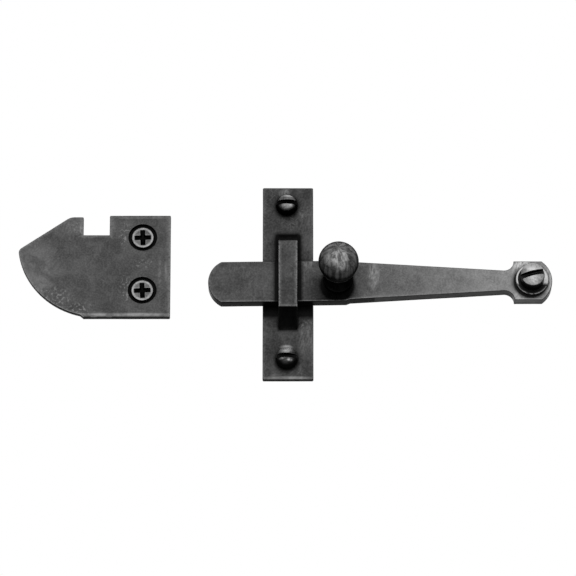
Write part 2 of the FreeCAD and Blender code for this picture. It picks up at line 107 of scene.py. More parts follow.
def outline(corners, step=3.0):
    """A path through corners: (x, y), or (x, y, radius) where the edge that leaves the corner is an arc."""
    path = []
    for number, corner in enumerate(corners):
        after = corners[(number + 1) % len(corners)]
        if len(corner) == 3:
            path += bulge_points(corner[:2], after[:2], corner[2], step)[:-1]
        else:
            path.append(corner)
    return path


def round_corner(path, corner, radius, step=12.0):
    """The closed path with the point nearest to corner rounded off by an arc."""
    near = min(range(len(path)), key=lambda n: (Vector(path[n]) - Vector(corner)).length)
    here = Vector(path[near])
    before, after = Vector(path[near - 1]), Vector(path[(near + 1) % len(path)])
    one, two = (before - here).normalized(), (after - here).normalized()
    half = one.angle(two) / 2
    run = min(radius / math.tan(half), (before - here).length * 0.9, (after - here).length * 0.9)
    inside = here + (one + two).normalized() * (run / math.cos(half))
    start, end = here + one * run, here + two * run
    first = math.atan2(start.y - inside.y, start.x - inside.x)
    turn = math.atan2(end.y - inside.y, end.x - inside.x) - first
    turn = (turn + math.pi) % (2 * math.pi) - math.pi
    bend = arc_points(inside, (start - inside).length, math.degrees(first), math.degrees(first + turn), step)
    return path[:near] + bend + path[near + 1:]


# -------- meshes

def mesh_of(thing):
    """The finished mesh of an object, modifiers applied; the object is removed."""
    bpy.context.view_layer.update()
    evaluated = thing.evaluated_get(bpy.context.evaluated_depsgraph_get())
    mesh = bpy.data.meshes.new_from_object(evaluated)
    bpy.data.objects.remove(thing)
    return mesh


def loose_object(name, data):
    thing = bpy.data.objects.new(name, data)
    bpy.context.scene.collection.objects.link(thing)
    return thing


def mesh_from(bm, name):
    mesh = bpy.data.meshes.new(name)
    bm.to_mesh(mesh)
    bm.free()
    return mesh


def bmesh_from(mesh):
    bm = bmesh.new()
    bm.from_mesh(mesh)
    bpy.data.meshes.remove(mesh)
    return bm


def slab(loops, low, high, bevel, to_frame):
    """A flat solid with rounded edges: closed loops (the first outside, the others holes) between two levels.
    to_frame turns (loop x, loop y, level) into the frame's axes."""
    curve = bpy.data.curves.new("slab", "CURVE")
    curve.dimensions = "2D"
    curve.fill_mode = "BOTH"
    for loop in loops:
        spline = curve.splines.new("POLY")
        spline.points.add(len(loop) - 1)
        for point, place in zip(spline.points, loop):
            point.co = (place[0], place[1], 0.0, 1.0)
        spline.use_cyclic_u = True
    curve.extrude = (high - low) / 2 - bevel
    curve.bevel_depth = bevel
    curve.bevel_resolution = 2
    curve.offset = -bevel
    bm = bmesh_from(mesh_of(loose_object("slab", curve)))
    bmesh.ops.translate(bm, verts=bm.verts, vec=(0, 0, (low + high) / 2))
    bmesh.ops.remove_doubles(bm, verts=bm.verts, dist=0.002)
    bmesh.ops.transform(bm, verts=bm.verts, matrix=to_frame)
    bmesh.ops.recalc_face_normals(bm, faces=bm.faces)
    return bm


# How a slab lies in the frame. FACING: its loops are (x, z) and its levels go out of the door. SIDEWAYS: its
# loops are (y, z) and its levels go to the right.
FACING = Matrix(((1, 0, 0, 0), (0, 0, -1, 0), (0, 1, 0, 0), (0, 0, 0, 1)))
SIDEWAYS = Matrix(((0, 0, 1, 0), (1, 0, 0, 0), (0, 1, 0, 0), (0, 0, 0, 1)))


def lathe(profile, steps=72):
    """A solid turned about the Y axis. profile is (radius, y) from one end of the axis to the other."""
    bm = bmesh.new()
    rings = []
    for radius, along in profile:
        if radius < 1e-6:
            rings.append([bm.verts.new((0, along, 0))])
            continue
        turn = [2 * math.pi * n / steps for n in range(steps)]
        rings.append([bm.verts.new((radius * math.cos(a), along, radius * math.sin(a))) for a in turn])
    for one, two in zip(rings, rings[1:]):
        for n in range(steps):
            corners = [one[n % len(one)], one[(n + 1) % len(one)], two[(n + 1) % len(two)], two[n % len(two)]]
            bm.faces.new(list(dict.fromkeys(corners)))
    bmesh.ops.recalc_face_normals(bm, faces=bm.faces)
    return bm


def grid_cut(bm, step):
    """Cut the mesh by planes at every step along X and Z, so that it can be shaped."""
    for axis in (0, 2):
        low = min(v.co[axis] for v in bm.verts)
        high = max(v.co[axis] for v in bm.verts)
        count = int((high - low) / step)
        for n in range(1, count):
            place, normal = Vector(), Vector()
            place[axis] = low + (high - low) * n / count
            normal[axis] = 1.0
            everything = bm.verts[:] + bm.edges[:] + bm.faces[:]
            bmesh.ops.bisect_plane(bm, geom=everything, dist=0.01, plane_co=place, plane_no=normal)


def uneven(bm, depth, size, seed, fine=0.25):
    """Forged surface: sink every vertex a little, by up to depth, in broad and in small waves."""
    bm.normal_update()
    shift = Vector((seed * 31.7, seed * 11.3, seed * 5.9))
    moves = []
    for vert in bm.verts:
        broad = noise.noise(vert.co / size + shift)
        small = noise.noise(vert.co * 4.0 / size + shift)
        wave = (broad + small * fine) / (1 + fine)
        moves.append(vert.normal * (wave - 1) * depth / 2)
    for vert, move in zip(bm.verts, moves):
        vert.co += move


def cut(bm, tool):
    """The first solid less the second."""
    solid = loose_object("solid", mesh_from(bm, "solid"))
    blade = loose_object("blade", mesh_from(tool, "blade"))
    modifier = solid.modifiers.new("cut", "BOOLEAN")
    modifier.operation = "DIFFERENCE"
    modifier.solver = "EXACT"
    modifier.object = blade
    mesh = mesh_of(solid)
    bpy.data.objects.remove(blade)
    return bmesh_from(mesh)


def worn(bm, cell, rounds):
    """Remake the surface in small even cells and soften it, so that crisp edges become slightly rounded."""
    solid = loose_object("worn", mesh_from(bm, "worn"))
    remesh = solid.modifiers.new("cells", "REMESH")
    remesh.mode = "VOXEL"
    remesh.voxel_size = cell
    soften = solid.modifiers.new("soften", "SMOOTH")
    soften.factor = 0.5
    soften.iterations = rounds
    return bmesh_from(mesh_of(solid))


def box_tool(low, high):
    """A box between two corners."""
    bm = bmesh.new()
    bmesh.ops.create_cube(bm, size=1.0)
    size = Vector(high) - Vector(low)
    bmesh.ops.scale(bm, vec=size, verts=bm.verts)
    bmesh.ops.translate(bm, vec=(Vector(high) + Vector(low)) / 2, verts=bm.verts)
    return bm


def add_to(bm, other):
    """Put another solid's shell into the same mesh."""
    mesh = mesh_from(other, "part")
    bm.from_mesh(mesh)
    bpy.data.meshes.remove(mesh)
    return bm


def mark_wear(bm, soft=8.0, hard=24.0):
    """Mark how much each vertex is rubbed, as the attribute wear: where the surface turns outwards by soft
    to hard degrees, and a little beside such an edge. It is most on lower edges, where this pale wear is also
    a painted highlight."""
    layer = bm.verts.layers.float.get("wear") or bm.verts.layers.float.new("wear")
    bm.normal_update()
    sharp = {}
    for vert in bm.verts:
        turns = [edge.calc_face_angle_signed(0.0) for edge in vert.link_edges if edge.is_manifold]
        sharpest = math.degrees(max(turns, default=0.0))
        share = min(max((sharpest - soft) / (hard - soft), 0.0), 1.0)
        sharp[vert] = share * (0.7 - 0.3 * vert.normal.z)
    for vert in bm.verts:
        beside = max((sharp[edge.other_vert(vert)] for edge in vert.link_edges), default=0.0)
        vert[layer] = max(vert[layer], sharp[vert], beside * 0.4)


def mark_rim(bm, inner, outer):
    """Rub the top of a round head brighter from one radius to another, as the attribute wear."""
    layer = bm.verts.layers.float.new("wear")
    for vert in bm.verts:
        share = (math.hypot(vert.co.x, vert.co.z) - inner) / (outer - inner)
        vert[layer] = min(max(share, 0.0), 1.0) if vert.co.y < 0.5 else 0.0


def paint_shade_on_faces(bm, inside, amount=1.0):
    """Paint shade on faces: black as in a slot or a recess, on a rim or an underside, as the attribute deep.
    inside(place, normal) says whether a face is one of them."""
    layer = bm.faces.layers.float.get("deep") or bm.faces.layers.float.new("deep")
    bm.normal_update()
    for face in bm.faces:
        if inside(face.calc_center_median(), face.normal):
            face[layer] = amount


def on_rim(_, normal):
    """Whether a face of a plate belongs to its rounded front edge or to its side."""
    return -0.93 < normal.y < 0.3


def beside_box(low_x, high_x, low_z, high_z):
    """How far a point of a flat piece is from an upright rectangle."""
    def gap(x, z):
        return math.hypot(max(low_x - x, x - high_x, 0.0), max(low_z - z, z - high_z, 0.0))
    return gap


def beside_disc(middle_x, middle_z, radius):
    """How far a point of a flat piece is from a disc."""
    return lambda x, z: max(math.hypot(x - middle_x, z - middle_z) - radius, 0.0)


def paint_shadow_near(bm, shadow_casters):
    """Paint shadow on the front round neighbours, as a vertex attribute that the material turns black. Each
    entry
    is (gap, reach, amount): gap says how far a point is from the neighbour, and reach how far the painted
    shadow goes."""
    layer = bm.verts.layers.float.new("painted_shade")
    bm.normal_update()
    for vert in bm.verts:
        shares = [amount * max(1 - gap(vert.co.x, vert.co.z) / reach, 0.0) for gap, reach, amount in shadow_casters]
        vert[layer] = max(shares) if vert.normal.y < 0.5 else 0.0


def paint_back_edge_shade(bm, back, amount):
    """Paint shade along the back edge of a bar's underside, into the vertex attribute of painted shadows."""
    layer = bm.verts.layers.float["painted_shade"]
    for vert in bm.verts:
        if vert.normal.z < -0.2 and vert.co.y > back:
            vert[layer] = amount


def paint_ball_shade(bm, centre, start, end, amount):
    """Paint shade on a ball towards its neck and below, into the vertex attribute of painted shadows. start
    and end are angles in degrees from the ball's front, tipped a little downwards."""
    layer = bm.verts.layers.float.new("painted_shade")
    # the ball's front, tipped a little down, where no shade is painted
    rubbed = Vector((0.0, -1.0, -0.035))
    for vert in bm.verts:
        angle = math.degrees(rubbed.angle(vert.co - centre, 0.0))
        vert[layer] = amount * min(max((angle - start) / (end - start), 0.0), 1.0)


def piece(name, bm, body, node, material, at=(0, 0, 0), turn=0.0, weighted=True, wear=True):
    """Finish a piece: mark its worn edges, turn, place and shade it, hang it on its body and hide the CAD
    node it replaces.
    """
    if wear:
        mark_wear(bm)
    place = Matrix.Translation(Vector(at)) @ Matrix.Rotation(math.radians(turn), 4, Vector((0, -1, 0)))
    bmesh.ops.transform(bm, verts=bm.verts, matrix=Matrix.Scale(MM, 4) @ place)
    mesh = mesh_from(bm, name)
    mesh.shade_smooth()
    mesh.set_sharp_from_angle(angle=math.radians(SHARP_EDGE))
    mesh.materials.append(material)
    thing = loose_object(name, mesh)
    if weighted:
        normals = thing.modifiers.new("even_shading", "WEIGHTED_NORMAL")
        normals.keep_sharp = True
    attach(thing, body)
    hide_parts(node)


def box_mm(node):
    """Lowest corner, highest corner and middle of a CAD node, in millimetres."""
    low, high = (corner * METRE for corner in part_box(node))
    return low, high, (low + high) / 2


# -------- materials

class Tree:
    """A short way to build a material's node tree."""

    def __init__(self, name):
        self.material = bpy.data.materials.new(name)
        self.material.use_nodes = True
        self.nodes = self.material.node_tree.nodes
        self.links = self.material.node_tree.links
        self.shader = self.nodes["Principled BSDF"]

    def add(self, kind, inputs=(), **settings):
        """A node with its settings and inputs, by number or name: sockets are linked, the rest are set."""
        node = self.nodes.new(f"ShaderNode{kind}")
        for key, value in settings.items():
            setattr(node, key, value)
        for number, value in dict(inputs).items():
            if isinstance(value, bpy.types.NodeSocket):
                self.links.new(value, node.inputs[number])
            else:
                node.inputs[number].default_value = value
        return node

    def math(self, operation, one, two=0.0, three=0.0):
        return self.add("Math", {0: one, 1: two, 2: three}, operation=operation).outputs[0]

    def place(self, stretch=(1, 1, 1), turn=(0, 0, 0), shift=(0, 0, 0)):
        """The point in millimetres from shift, turned by angles in degrees and then stretched."""
        where = self.add("TexCoord").outputs["Object"]
        size = [MM / share for share in stretch]
        angles = [math.radians(angle) for angle in turn]
        inputs = {"Vector": where, "Scale": size, "Rotation": angles, "Location": Vector(shift) * MM}
        return self.add("Mapping", inputs, vector_type="TEXTURE").outputs[0]

    def noise(self, vector, scale, detail=4.0, rough=0.55, distort=0.0):
        inputs = {"Vector": vector, "Scale": scale, "Detail": detail, "Roughness": rough,
                  "Distortion": distort}
        return self.add("TexNoise", inputs).outputs["Fac"]

    def ramp(self, value, low, high, out_low=0.0, out_high=1.0, smooth=True):
        inputs = {"Value": value, "From Min": low, "From Max": high, "To Min": out_low, "To Max": out_high}
        kind = "SMOOTHSTEP" if smooth else "LINEAR"
        return self.add("MapRange", inputs, interpolation_type=kind).outputs[0]

    def blend(self, share, one, two, clamp=True):
        """From the color one to the color two. Without clamp, a share over 1 goes on past two."""
        node = self.add("Mix", data_type="RGBA", clamp_factor=clamp)
        for socket, value in ((node.inputs[0], share), (node.inputs[6], one), (node.inputs[7], two)):
            if isinstance(value, bpy.types.NodeSocket):
                self.links.new(value, socket)
            else:
                socket.default_value = value if isinstance(value, float) else (*value, 1.0)
        return node.outputs[2]

    def to_shader(self, **sockets):
        """Link or set the shader's sockets by name, with _ for a space."""
        for name, value in sockets.items():
            socket = self.shader.inputs[name.replace("_", " ")]
            if isinstance(value, bpy.types.NodeSocket):
                self.links.new(value, socket)
            else:
                socket.default_value = value


def grey(level):
    return (level, level, level)


def iron(name, dark, pale, edge, rough, metal=0.9, seed=0.0, scratch=0.5, painted_light_along_x=None, ball=None, streaked_patches=(),
         flecks=(), bands=(), grain=1.0, glance=0.7, painted_shade_amount=1.0):
    """Blackened iron. dark and pale are the two greys of its mottling and edge that of its rubbed edges.
    scratch and grain say how strong its scratches and pits are. painted_light_along_x is (x low, x high, how
    much paler): painted light that grows along x. ball is the middle of a ball with painted highlight
    streaks.
    streaked_patches, flecks and bands are paler patches in streaks, in specks and evenly, each (x, z, half
    width, half height, how much paler), in millimetres; some of them are painted light. glance is how much of
    the glancing shine is left, and painted_shade_amount how much painted shade lies beside other metal."""
    tree = Tree(name)
    shift = (seed * 13.1, seed * 7.7, seed * 3.3)
    here = tree.place(shift=shift)
    blotch = tree.ramp(tree.noise(here, 0.11, 6.0, 0.62, 0.6), 0.36, 0.66)
    fleck = tree.ramp(tree.noise(here, 1.1, 4.0, 0.6), 0.38, 0.66)
    mottle = tree.math("ADD", tree.math("MULTIPLY", blotch, 0.5), tree.math("MULTIPLY", fleck, 0.5))
    # Painted highlight: pale streaks on a ball.
    if ball is not None:
        faint = tree.math("MULTIPLY", mottle, 0.35)
        mottle = tree.math("MULTIPLY_ADD", streaks(tree, ball, seed), 0.95, faint)
    lines = tree.math("MULTIPLY", scratches(tree, here, seed), scratch)

    wear = tree.add("Attribute", attribute_name="wear").outputs["Fac"]
    chips = tree.ramp(tree.noise(here, 0.55, 5.0, 0.7), 0.34, 0.58, 0.35, 1.0)
    rubbed = tree.math("MULTIPLY", wear, chips)

    share = mottle
    # Painted light: paler along x.
    if painted_light_along_x is not None:
        across = tree.add("SeparateXYZ", {0: tree.place()}).outputs[0]
        paler = tree.ramp(across, painted_light_along_x[0], painted_light_along_x[1], 0.0, painted_light_along_x[2], smooth=False)
        livelier = tree.math("MULTIPLY_ADD", paler, 0.6, 1.0)
        share = tree.math("MULTIPLY_ADD", mottle, livelier, paler)
    # Paler patches, some of them painted light and highlight.
    share = tree.math("ADD", share, pale_patches(tree, here, blotch, streaked_patches, flecks, bands))
    share = tree.math("ADD", share, tree.math("MULTIPLY", lines, 0.9))
    color = tree.blend(share, grey(dark), grey(pale), clamp=False)
    color = tree.blend(rubbed, color, grey(edge))
    # Painted shade: black in recesses, on rims and undersides and beside other metal.
    color = tree.blend(painted_shade(tree, rubbed, painted_shade_amount), color, grey(SHADE_BLACK))

    sheen = tree.ramp(tree.noise(here, 0.35, 4.0, 0.6), 0.3, 0.7, rough - 0.07, rough + 0.09)
    pits = tree.noise(here, 2.2, 5.0, 0.65)
    waves = tree.noise(here, 0.22, 3.0, 0.5)
    height = tree.math("ADD", tree.math("MULTIPLY", pits, 0.35), tree.math("MULTIPLY", waves, 0.9))
    height = tree.math("SUBTRACT", height, tree.math("MULTIPLY", lines, 0.10))
    bump = tree.add("Bump", {"Height": height, "Strength": 0.35 * grain, "Distance": 0.12 * MM}).outputs[0]
    tree.to_shader(Base_Color=color, Roughness=sheen, Metallic=metal, Normal=bump,
                   Specular_Tint=(*grey(glance), 1.0))
    return tree.material


def pale_patches(tree, here, blotch, streaked_patches, flecks, bands):
    """How much paler all the patches of a piece are, on its front; some of them are painted light."""
    share = 0.0
    for one_patch in streaked_patches:
        share = tree.math("ADD", share, streaked_share(tree, *one_patch))
    if bands:
        even = tree.math("MULTIPLY_ADD", blotch, 0.7, 0.45)
        share = tree.math("MULTIPLY_ADD", even, patch_share(tree, bands), share)
    if flecks:
        specks = tree.ramp(tree.noise(here, 0.75, 3.0, 0.6, 0.3), 0.54, 0.61)
        share = tree.math("MULTIPLY_ADD", specks, patch_share(tree, flecks), share)
    facing = tree.add("SeparateXYZ", {0: tree.add("TexCoord").outputs["Normal"]}).outputs[1]
    return tree.math("MULTIPLY", share, tree.ramp(facing, 0.3, 0.6, 1.0, 0.0))


def within(tree, x, z, wide, tall, strength):
    """strength inside an ellipse on the front, fading to nothing at its rim."""
    point = tree.place((1 / wide, 0.0001, 1 / tall), shift=(x, 0, z))
    distance = tree.add("VectorMath", {0: point}, operation="LENGTH").outputs["Value"]
    return tree.ramp(distance, 0.2, 1.0, strength, 0.0)


def streaked_share(tree, x, z, wide, tall, strength):
    """How much paler a patch is, with streaks that run up and down in it."""
    along = tree.place((0.9, 1.0, 0.25), (0, 12, 0), (x, 0, z))
    streak = tree.ramp(tree.noise(along, 1.0, 3.0, 0.6), 0.35, 0.65)
    return tree.math("MULTIPLY", within(tree, x, z, wide, tall, strength), streak)


def patch_share(tree, patches):
    """The strongest of several patches."""
    share = within(tree, *patches[0])
    for patch in patches[1:]:
        share = tree.math("MAXIMUM", share, within(tree, *patch))
    return share


def scratches(tree, here, seed):
    """Fine scratches in three directions, in patches."""
    lines = None
    for number, angle in enumerate((35, -50, 84)):
        along = tree.place((0.14, 1.0, 1.9), (0, angle, 0), (seed * 5 + number * 9, 0, number * 4))
        line = tree.ramp(tree.noise(along, 1.0, 2.0, 0.5, 0.25), 0.57, 0.70)
        lines = line if lines is None else tree.math("MAXIMUM", lines, line)
    patches = tree.ramp(tree.noise(here, 0.06, 2.0), 0.42, 0.62)
    return tree.math("MULTIPLY", lines, patches)


def painted_shade(tree, rubbed, painted_shade_amount):
    """How much painted shade covers the surface: black as marked in recesses, on rims and undersides, and
    where other metal is near it, from ambient occlusion and the painted shadows, less where it is rubbed.
    """
    # Painted shade from ambient occlusion: black where other metal is near.
    hidden = tree.add("AmbientOcclusion", {"Distance": SHADE_REACH * MM}, samples=8).outputs["AO"]
    painted_dark = tree.ramp(hidden, 0.58, 0.93, FULL_PAINTED_SHADE * painted_shade_amount, 0.0, smooth=False)
    deep, beside = (tree.add("Attribute", attribute_name=name).outputs["Fac"] for name in ("deep", "painted_shade"))
    painted_dark = tree.math("MAXIMUM", painted_dark, tree.math("MINIMUM", beside, FULL_PAINTED_SHADE))
    painted_dark = tree.math("MULTIPLY", painted_dark, tree.ramp(rubbed, 0.2, 1.0, 1.0, 0.35))
    return tree.math("MAXIMUM", deep, painted_dark)


def streaks(tree, ball, seed):
    """Painted highlight: pale streaks that fan out over a ball from its lower front, as a share of 0 to 1."""
    point = tree.add("SeparateXYZ", {0: tree.place(turn=(PHOTO_ELEVATION, 0, 0), shift=ball)})
    x, z = point.outputs[0], point.outputs[2]
    angle = tree.math("ARCTAN2", z, x)
    reach = tree.math("SQRT", tree.math("ADD", tree.math("MULTIPLY", x, x), tree.math("MULTIPLY", z, z)))
    inputs = {0: tree.math("MULTIPLY", angle, 2.1), 1: tree.math("MULTIPLY", reach, 0.24), 2: seed}
    strip = tree.add("CombineXYZ", inputs).outputs[0]
    return tree.ramp(tree.noise(strip, 1.25, 4.0, 0.6, 0.9), 0.38, 0.64)


# -------- the keeper

def make_keeper_plate():
    low, high, _ = box_mm("keeper_plate")
    bar_low, bar_high, _ = box_mm("latch_bar")
    staple_low, staple_high, _ = box_mm("guide_staple")
    screws = [box_mm(node)[2] for node in ("keeper_screw_top", "keeper_screw_bottom")]
    corners = [(high.x, low.z), (high.x, high.z), (low.x, high.z), (low.x, low.z)]
    loop = outline(corners)
    for corner in corners:
        loop = round_corner(loop, corner, 0.7, 30)
    hole_radius = 3.3
    holes = [circle_points((screw.x, screw.z), hole_radius) for screw in screws]
    bm = slab([loop, *holes], -high.y, -low.y, bevel=0.45, to_frame=FACING)
    grid_cut(bm, step=1.3)
    # Painted shadows on the front: below the bar, beside and below the staple, and below the screw heads.
    paint_shadow_near(bm, [
        (beside_box(low.x, high.x, bar_low.z - 2.6, bar_high.z - 2.0), 5.0, 1.6),
        (beside_box(staple_low.x, staple_high.x, bar_low.z, staple_high.z - 1.0), 3.2, 1.7),
        (beside_box(staple_low.x, staple_high.x, staple_low.z, bar_low.z), 1.6, 0.9),
        *((beside_disc(screw.x, screw.z - 1.2, 5.2), 2.2, 1.0) for screw in screws),
    ])
    # Painted shade: a dark rounded front edge and sides, and black undersides.
    paint_shade_on_faces(bm, on_rim, 0.65)
    paint_shade_on_faces(bm, lambda _, normal: normal.z < -0.5, 0.85)
    uneven(bm, depth=0.10, size=14.0, seed=1)
    streaked_patches = [
        (9.0, -30.0, 6.0, 12.0, 1.3),  # the lower right
        (9.0, 30.0, 8.0, 26.0, 0.6),  # the upper right
        (-1.5, 48.5, 3.5, 3.0, 3.0),  # painted highlight above the top screw
    ]
    bands = [
        (0.0, low.z + 1.0, 22.0, 1.2, 3.2),  # painted highlight along the bottom edge
        (-7.0, low.z + 2.0, 3.0, 1.5, 1.0),
        (6.0, -24.0, 16.0, 30.0, 0.25),  # the whole lower half
        (-1.5, 48.5, 5.0, 4.0, 0.8),  # painted highlight above the top screw
        (-0.8, -34.5, 4.2, 1.8, 7.0),  # painted highlight above the bottom screw
    ]
    flecks = [(8.0, -22.0, 5.0, 8.0, 1.4), (8.0, 38.0, 4.0, 6.0, 1.2)]
    material = iron("plate_iron", dark=0.041, pale=0.105, edge=0.25, rough=0.36, seed=1.0, scratch=1.3,
                    streaked_patches=streaked_patches, flecks=flecks, bands=bands)
    piece("keeper_plate_forged", bm, "ironwork", "keeper_plate", material)


def make_staple():
    """A strap bent over the bar: the outline of its side, given a rounded edge all round."""
    low, high, _ = box_mm("guide_staple")
    plate = box_mm("keeper_plate")[0].y
    thick, sunk = 3.0, 0.2  # the strap's thickness, and how far it goes into the plate
    bend_top, bend_low = 18.1, -16.9
    rise = (high.z - bend_top) / (plate - low.y)
    drop = (low.z - bend_low) / (plate - low.y)
    deep_top, deep_low = thick * math.hypot(1, rise), thick * math.hypot(1, drop)
    inner = low.y + thick
    side = [
        (low.y, bend_low),
        (plate + sunk, low.z + drop * sunk),
        (plate + sunk, low.z + deep_low + drop * sunk),
        (inner, bend_low + deep_low + drop * thick),
        (inner, bend_top - deep_top + rise * thick),
        (plate + sunk, high.z - deep_top + rise * sunk),
        (plate + sunk, high.z + rise * sunk),
        (low.y, bend_top),
    ]
    outer_bend, inner_bend = 1.1, 0.8
    loop = outline(side)
    for number, radius in ((0, outer_bend), (-1, outer_bend), (3, inner_bend), (4, inner_bend)):
        loop = round_corner(loop, side[number], radius)
    bm = slab([loop], low.x, high.x, bevel=0.5, to_frame=SIDEWAYS)
    grid_cut(bm, step=0.9)
    # Painted shade: the legs, set back from the front face, are black.
    paint_shade_on_faces(bm, lambda place, _: place.y > low.y + 0.9, 0.96)
    uneven(bm, depth=0.07, size=8.0, seed=2)
    material = iron("staple_iron", dark=0.05, pale=0.12, edge=0.65, rough=0.34, seed=2.0, scratch=0.9)
    piece("guide_staple_forged", bm, "ironwork", "guide_staple", material)
    rivet = iron("rivet_iron", dark=0.05, pale=0.11, edge=0.3, rough=0.45, seed=2.5)
    wide, tall = 3.0, 1.3  # half of a tenon's section
    for number, height in enumerate((high.z - deep_top / 2, low.z + deep_low / 2), start=1):
        end = [(wide, height - tall), (wide, height + tall), (-wide, height + tall), (-wide, height - tall)]
        tenon = slab([outline(end)], 0.0, -plate - 0.1, bevel=0.15, to_frame=FACING)
        piece(f"staple_tenon_{number}", tenon, "ironwork", "guide_staple", rivet)


# -------- screws

def screw_thread(thread, depth, seat):
    """A wood screw's shank below a surface, from a seat above it: smooth at first, then a helical thread that
    runs out at the point."""
    length, smooth = depth + thread["bury"], thread["smooth"] + thread["bury"]
    shank, core, pitch = thread["shank"], thread["core"], thread["pitch"]
    start = -seat - thread["bury"]
    steps, step = 48, pitch / 12
    count = int(length / step)
    bm = bmesh.new()
    rings = []
    for level in range(count):
        along = level * step
        ring = []
        for n in range(steps):
            turn = along / pitch - n / steps
            phase = abs((turn % 1.0) - 0.5) * 2
            crest = max(0.0, 1.0 - phase * 1.7)
            begin = min(max((along - smooth) / (pitch * 1.2), 0.0), 1.0)
            taper = min((length - along) / thread["point"], 1.0)
            root = shank + (core - shank) * begin
            body = (root + (shank - root) * crest) * taper ** 0.8
            angle = 2 * math.pi * n / steps
            ring.append(bm.verts.new((body * math.cos(angle), start + along, body * math.sin(angle))))
        rings.append(ring)
    for one, two in zip(rings, rings[1:]):
        for n in range(steps):
            bm.faces.new((one[n], one[(n + 1) % steps], two[(n + 1) % steps], two[n]))
    bm.faces.new(list(reversed(rings[0])))
    tip = bm.verts.new((0, start + length, 0))
    for n in range(steps):
        bm.faces.new((rings[-1][n], rings[-1][(n + 1) % steps], tip))
    bmesh.ops.recalc_face_normals(bm, faces=bm.faces)
    return bm


def slotted(profile, top, half, deep):
    """A turned head with a slot along X, half wide each way and deep from the top, its edges worn."""
    floor = top + deep
    bm = worn(cut(lathe(profile), box_tool((-8, top - 2, -half), (8, floor, half))), HEAD_CELL, 2)
    # Painted shade: the slot is black.
    paint_shade_on_faces(bm, lambda place, _: abs(place.z) < half + 0.15 and place.y < floor + 0.3)
    return bm


def dome_head(seed):
    """A high round head with a slot, dented by use, its seat at y = 0. Its underside is painted black as
    shade.
    """
    radius, tall, shank = 5.7, 5.8, 2.9
    crown = (radius * radius + tall * tall) / (2 * tall)
    profile = [(0.0, -tall)]
    profile += bulge_points((0.0, -tall), (radius - 0.03, -0.45), crown, 6)[1:]
    profile += [(radius - 0.15, -0.1), (radius - 0.35, 0.0), (shank, 0.0), (shank, 2.9), (0.0, 2.9)]
    bm = slotted(profile, -tall, half=1.0, deep=2.9)
    # Painted shade: the lower part of the head is black.
    paint_shadow_near(bm, [(lambda x, z: 9.0 if z > -0.5 else max(4.9 - math.hypot(x, z), 0.0), 2.0, 1.1)])
    uneven(bm, depth=0.32, size=3.0, seed=seed)
    return bm


def tall_head(seed):
    """The pivot screw's head: an upright side painted black as shade, a low crown and a slot, its seat at y =
    0.
    """
    radius, side, crown, shank = 6.0, 6.6, 1.7, 3.98
    top = -side - crown
    crown_radius = (radius * radius + crown * crown) / (2 * crown)
    profile = [(0.0, top)]
    profile += bulge_points((0.0, top), (radius - 0.35, -side - 0.16), crown_radius, 4)[1:]
    profile += [(radius - 0.12, -side - 0.02), (radius, -side + 0.3), (radius, -0.25), (radius - 0.25, 0.0)]
    profile += [(shank, 0.0), (shank, 11.0), (0.0, 11.0)]
    bm = slotted(profile, top, half=1.25, deep=3.4)
    # Painted shade: the upright side is black.
    paint_shade_on_faces(bm, lambda place, _: place.y > -side + 0.2, 0.95)
    uneven(bm, depth=0.03, size=3.0, seed=seed)
    return bm


def cross_tool():
    """A cross that narrows as it goes in, ending in a blunt point."""
    bm = bmesh.new()
    rings = []
    for level, reach, half in ((-1.0, 4.75, 1.42), (0.1, 4.3, 1.22), (1.8, 1.7, 0.75)):
        arm = [(reach, -half), (reach, half), (half, half)]
        corners = []
        for _ in range(4):
            corners += arm
            arm = [(-z, x) for x, z in arm]
        rings.append([bm.verts.new((x, level, z)) for x, z in corners])
    for one, two in zip(rings, rings[1:]):
        for n in range(12):
            bm.faces.new((one[n], one[(n + 1) % 12], two[(n + 1) % 12], two[n]))
    bm.faces.new(rings[0])
    tip = bm.verts.new((0, 2.2, 0))
    for n in range(12):
        bm.faces.new((rings[-1][n], rings[-1][(n + 1) % 12], tip))
    bmesh.ops.recalc_face_normals(bm, faces=bm.faces)
    return bm


def flat_head(seed):
    """A flat head with a cross recess and a rubbed rim, its top at y = 0.1."""
    profile = [(0.0, 0.1), (5.1, 0.1), (5.42, 0.22), (5.5, 0.4), (2.9, 2.95), (0.0, 2.95)]
    bm = worn(cut(lathe(profile), cross_tool()), HEAD_CELL, 2)
    # Painted shade: the cross recess is black.
    paint_shade_on_faces(bm, lambda place, normal: place.y > 0.22 and normal.y < 0.3
              and math.hypot(place.x, place.z) < 4.4)
    mark_rim(bm, 3.9, 4.7)
    uneven(bm, depth=0.03, size=3.0, seed=seed)
    return bm


def make_screw(node, head, rests_on, thread, material, turn):
    """A screw whose head is made by head() and rests on another node. turn is its slot's, in degrees."""
    _, high, middle = box_mm(node)
    seat = box_mm(rests_on)[0].y
    bm = add_to(head(middle.z), screw_thread(thread, high.y, seat))
    at = (middle.x, seat, middle.z)
    piece(f"{node}_turned", bm, "ironwork", node, material, at, turn, weighted=False)


